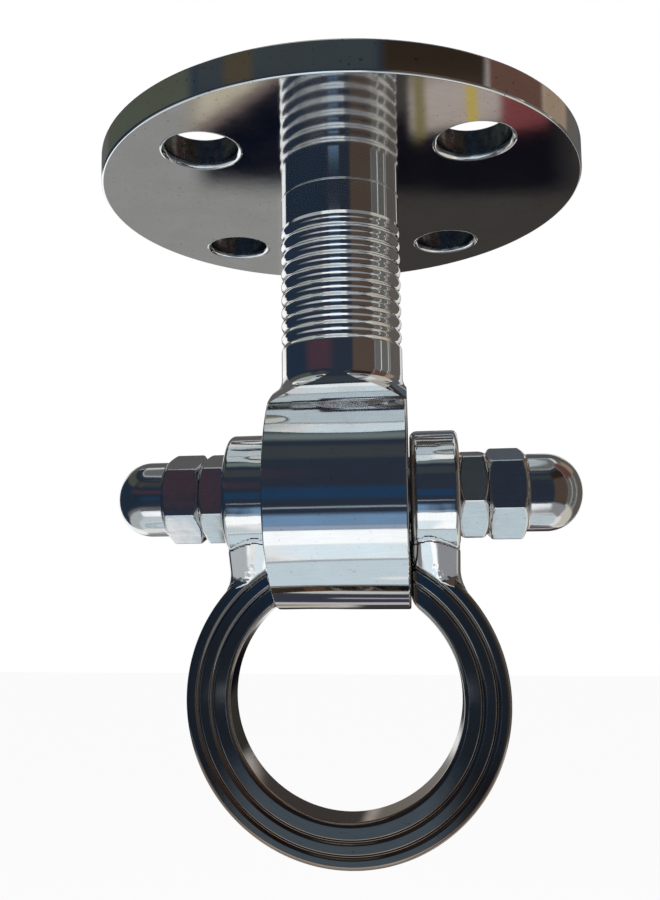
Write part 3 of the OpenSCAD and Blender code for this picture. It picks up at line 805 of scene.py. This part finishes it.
# name: azimuth from, to; elevation from, to; colour; feather across, feather up; slant.
# All angles are in degrees, and the slant is how much higher the last azimuth lies than the first.
BOARDS = [
    ("dark_front", -128, 72, -37, 64, (0.026, 0.036, 0.056), 6, 3),
    ("dark_left_front", -128, -20, -30, 40, (0.020, 0.034, 0.060), 6, 5),
    ("grey_overhead", -180, 180, 62, 90, (0.16, 0.17, 0.17), 0, 3),
    ("light_overhead", -55, 25, 61, 84, (0.60, 0.62, 0.58), 12, 2),
    ("green_overhead", -40, 25, 50, 62, (0.16, 0.20, 0.20), 12, 5),
    ("green_high_front", -60, 24, 31, 48, (0.045, 0.056, 0.064), 6, 4),
    ("green_high_left", -140, -56, 27, 48, (0.085, 0.096, 0.076), 8, 4),
    ("brown_high_left", -46, -28, 29, 48, (0.075, 0.062, 0.042), 5, 4),
    ("maroon_front", -74, -4, 12, 25, (0.070, 0.040, 0.055), 22, 4),
    ("brown_right_front", 22, 70, -30, 40, (0.095, 0.070, 0.055), 6, 6),
    ("umber_high_right", 20, 72, 31, 54, (0.030, 0.021, 0.014), 6, 4),
    ("blue_front", -30, 8, -8, 8, (0.018, 0.050, 0.11), 4, 5),
    ("streak_front", -18, 8, -14.8, -12.2, (0.38, 0.45, 0.54), 5, 1.5),
    ("blue_low", -18, 7, -34, -17.5, (0.18, 0.31, 0.49), 5, 5),
    ("lilac_low", -22, 9, -36, -29.5, (0.33, 0.42, 0.55), 5, 2.5),
    ("grey_low_left", -100, -18, -36, -20, (0.16, 0.17, 0.18), 8, 6),
    ("white_floor", -125, 24, -50, -34.5, (1.20, 1.25, 1.28), 8, 1.5),
    ("light_floor", -22, 20, -66, -48, (0.86, 1.00, 1.08), 8, 3),
    ("light_floor_left", -125, -20, -66, -51, (0.66, 0.75, 0.78), 8, 3),
    ("grey_floor_far_left", -128, -33, -56, -28, (0.50, 0.54, 0.56), 8, 4),
    ("grey_floor_right", 16, 88, -66, -28, (0.30, 0.31, 0.33), 8, 6),
    ("white_strip_low", 6, 20, -66, -44, (1.25, 1.28, 1.30), 2.5, 3),
    ("cream_right_low", 72, 152, -56, -24, (0.70, 0.67, 0.60), 10, 6),
    ("grey_floor", -180, 180, -90, -64, (0.64, 0.76, 0.83), 0, 3),
    ("floor_line", -125, 60, -68, -65, (0.40, 0.46, 0.50), 8, 1),
    ("strip_right", 66, 108, -32, 34, (0.14, 0.145, 0.14), 4, 8),
    ("rust_right", 66, 108, 24, 66, (0.13, 0.070, 0.055), 6, 4),
    ("bright_line_right", 81.5, 84.5, -30, 30, (0.90, 0.90, 0.86), 1.5, 8),
    ("grey_right_back", 104, 150, -30, 60, (0.125, 0.115, 0.105), 4, 4),
    ("cream_line_right", 99.5, 102.5, -30, 30, (0.75, 0.73, 0.68), 1.5, 8),
    ("white_right_back", 150, 166, -12, 34, (0.70, 0.69, 0.66), 3, 6),
    ("beige_high_right", 100, 128, 24, 52, (0.33, 0.25, 0.18), 6, 4),
    ("slate_high_back", 142, 186, 28, 64, (0.090, 0.105, 0.125), 4, 4),
    ("white_left_back", -152, -124, -50, 18, (1.15, 1.18, 1.20), 5, 5),
    ("grey_left_back", -172, -148, -62, 40, (0.30, 0.30, 0.295), 3, 6),
    ("grey_low_back", 164, 190, -10, 32, (0.10, 0.10, 0.105), 3, 5),
    ("dark_left_up", -180, -124, 20, 62, (0.12, 0.12, 0.12), 4, 6),
    ("dark_back", 150, 187, -80, -2, (0.050, 0.046, 0.043), 4, 4),
    ("low_dark_back", 150, 216, -72, -36, (0.045, 0.050, 0.070), 4, 2, -5.0),
    ("low_cream_back", 150, 216, -70.5, -64, (0.60, 0.60, 0.57), 4, 1.5, -4.0),
    ("low_line_back", 150, 192, -57, -53, (0.45, 0.42, 0.45), 4, 1.5, -3.0),
    ("low_lilac_back", 150, 216, -47, -38, (0.55, 0.52, 0.55), 4, 2, -3.0),
    ("black_back", 160, 186, -23.5, -15.0, (0.005, 0.005, 0.009), 5, 1.5, -3.0),
    ("navy_back", 182, 200, -29.0, -16.0, (0.003, 0.005, 0.012), 3, 2.5),
    ("mauve_back", 184, 201, -30.0, -24.7, (0.16, 0.12, 0.12), 3, 1.0, 10.7),
    ("cream_back", 184, 201, -36.0, -25.9, (0.52, 0.48, 0.38), 3, 1.0, 10.7),
    ("lilac_back", 166, 178, -27, -21.0, (0.42, 0.36, 0.33), 1, 1),
    ("olive_back", 175.5, 177.5, -27, -20.5, (0.20, 0.17, 0.08), 0.8, 1),
    ("yellow_back", 170.4, 172.2, -27, -20.5, (0.50, 0.38, 0.08), 0.8, 1),
    ("magenta_back", 163.5, 169, -25, -20.0, (0.20, 0.055, 0.060), 1, 1),
]


def board_material(name, colour, feather_across, feather_up):
    """Glows evenly in one colour and fades out towards its edges, over these shares of its two sides."""
    material = new_material(name)
    tree = material.node_tree
    place = add(tree, "UVMap", uv_map="place")
    across_up = add(tree, "SeparateXYZ", {0: place.outputs[0]})
    fade = 1.0
    for axis, feather in ((0, feather_across), (1, feather_up)):
        if feather <= 0:
            continue
        edge = add(tree, "Math", {0: across_up.outputs[axis], 1: 0.5}, operation="PINGPONG")
        ramp = add(tree, "MapRange", {
            "Value": edge.outputs[0], "From Max": feather,
        }, interpolation_type="SMOOTHSTEP")
        fade = add(tree, "Math", {0: fade, 1: ramp.outputs[0]}, operation="MULTIPLY").outputs[0]
    glow = add(tree, "Emission", {"Color": (*colour, 1), "Strength": 1.0})
    clear = add(tree, "BsdfTransparent")
    mix = add(tree, "MixShader", {0: fade, 1: clear.outputs[0], 2: glow.outputs[0]})
    add(tree, "OutputMaterial", {0: mix.outputs[0]})
    return material


def make_board(layer, name, az0, az1, el0, el1, colour, feather_across, feather_up, slant=0.0):
    """A curved studio board round the axle, seen only in reflections. Later boards stand in front."""
    radius = BOARD_R - layer * BOARD_GAP
    row = BOARD_STEPS + 1
    verts, places = [], []
    for j in range(row):
        for i in range(row):
            u, v = i / BOARD_STEPS, j / BOARD_STEPS
            elevation = el0 + v * (el1 - el0) + slant * (u - 0.5)
            verts.append(AXLE + radius * direction(az0 + u * (az1 - az0), elevation))
            places.append((u, v))
    firsts = [j * row + i for j in range(BOARD_STEPS) for i in range(BOARD_STEPS)]
    faces = [(a, a + 1, a + row + 1, a + row) for a in firsts]
    mesh = bpy.data.meshes.new(name)
    mesh.from_pydata(verts, [], faces)
    place_map = mesh.uv_layers.new(name="place")
    for loop in mesh.loops:
        place_map.data[loop.index].uv = places[loop.vertex_index]
    fade_across, fade_up = feather_across / (az1 - az0), feather_up / (el1 - el0)
    mesh.materials.append(board_material(name, colour, fade_across, fade_up))
    board = link_to_scene(bpy.data.objects.new(name, mesh))
    board.visible_camera = False
    board.visible_diffuse = False
    board.visible_transmission = False
    board.visible_shadow = False


def backdrop_factor(tree):
    """1 for a ray that shows the background: from the camera, or seen in metal or through glass."""
    rays = add(tree, "LightPath").outputs
    shown = add(tree, "Math", {0: rays["Is Camera Ray"], 1: rays["Is Glossy Ray"]}, operation="MAXIMUM")
    through = rays["Is Transmission Ray"]
    return add(tree, "Math", {0: shown.outputs[0], 1: through}, operation="MAXIMUM").outputs[0]


def make_world():
    """White where the background shows, and a softer light on everything else."""
    world = bpy.data.worlds.new("studio")
    scene.world = world
    world.use_nodes = True
    tree = world.node_tree
    tree.nodes.clear()
    fill = add(tree, "Background", {"Color": (0.8, 0.8, 0.8, 1), "Strength": 0.6})
    white = add(tree, "Background", {"Color": (1, 1, 1, 1), "Strength": 1.0})
    mix = add(tree, "MixShader", {0: backdrop_factor(tree), 1: fill.outputs[0], 2: white.outputs[0]})
    add(tree, "OutputWorld", {0: mix.outputs[0]})


FLOOR_Z = -0.7
FLOOR_HALF = 4.0
FLOOR_GLOW = 0.93
LAMPS = [
    # name, azimuth, elevation, distance, size, power
    ("key_lamp", -35, 50, 0.9, 0.6, 7.0),
    ("fill_lamp", 60, 25, 1.0, 0.7, 3.5),
    ("back_lamp", 170, 45, 1.0, 0.7, 4.0),
]


def make_floor():
    """A plain pale floor that shows as white and keeps the object's shadow."""
    material = new_material("pale_floor")
    tree = material.node_tree
    matt = add(tree, "BsdfDiffuse", {"Color": (0.86, 0.86, 0.86, 1)})
    bright = add(tree, "Emission", {"Color": (1, 1, 1, 1), "Strength": 1.0})
    shown = add(tree, "Math", {0: backdrop_factor(tree), 1: FLOOR_GLOW}, operation="MULTIPLY")
    mix = add(tree, "MixShader", {0: shown.outputs[0], 1: matt.outputs[0], 2: bright.outputs[0]})
    add(tree, "OutputMaterial", {0: mix.outputs[0]})
    mesh = bpy.data.meshes.new("floor")
    corners = [(x * FLOOR_HALF, y * FLOOR_HALF, FLOOR_Z) for x, y in ((-1, -1), (1, -1), (1, 1), (-1, 1))]
    mesh.from_pydata(corners, [], [(0, 1, 2, 3)])
    mesh.materials.append(material)
    link_to_scene(bpy.data.objects.new("floor", mesh))


def make_lamps():
    """Soft lamps for the floor and the matt pieces. The boards do the work in the mirror finishes."""
    for name, azimuth, elevation, distance, size, power in LAMPS:
        data = bpy.data.lights.new(name, "AREA")
        data.size = size
        data.energy = power
        lamp = link_to_scene(bpy.data.objects.new(name, data))
        lamp.location = AXLE + distance * direction(azimuth, elevation)
        lamp.rotation_euler = (AXLE - lamp.location).to_track_quat("-Z", "Y").to_euler()
        lamp.visible_glossy = False


make_camera()
make_world()
make_floor()
make_lamps()
for layer, board in enumerate(BOARDS):
    make_board(layer, *board)
dress()
scene.view_settings.view_transform = "Standard"
